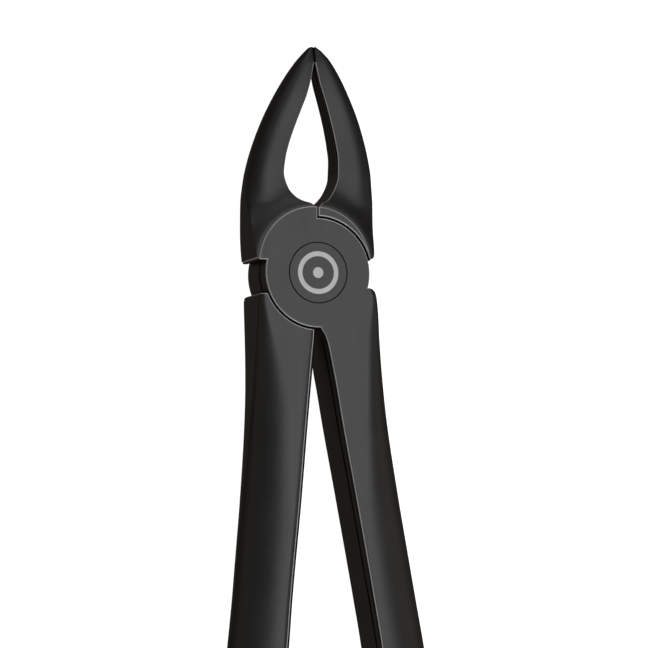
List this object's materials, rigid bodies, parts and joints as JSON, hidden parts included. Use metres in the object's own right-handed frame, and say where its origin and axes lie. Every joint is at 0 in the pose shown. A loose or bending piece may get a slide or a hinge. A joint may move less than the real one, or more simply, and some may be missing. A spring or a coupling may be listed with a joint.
{
  "type": "extraction forceps",
  "caption": "Straight upper extraction forceps in satin black steel: two levers cross in a lap joint on a flush pivot, with serrated pointed beaks and plain handles.",
  "frame": {"origin": "where the pivot axis meets the flat rear face, which the tool lies on", "axes": "+X across the tool to the right as seen from the front, +Y along the tool to the beak tips, +Z out of the front face along the pivot axis"},
  "size_m": [0.0479, 0.1732, 0.0104],
  "materials": {
    "black_coated_steel": "satin black coating over steel",
    "black_pivot": "fine turned, black",
    "dark_screw": "dark burnished steel"
  },
  "bodies": {
    "front_lever": {"front_lever": "black_coated_steel", "pivot_post": "black_pivot", "lock_screw": "dark_screw"},
    "rear_lever": {"rear_lever": "black_coated_steel"}
  },
  "joints": [
    {"name": "pivot", "type": "hinge", "parent": "front_lever", "child": "rear_lever", "pos_m": [0, 0, 0.0052], "axis": [0, 0, -1], "range_deg": [0, 27]}
  ]
}
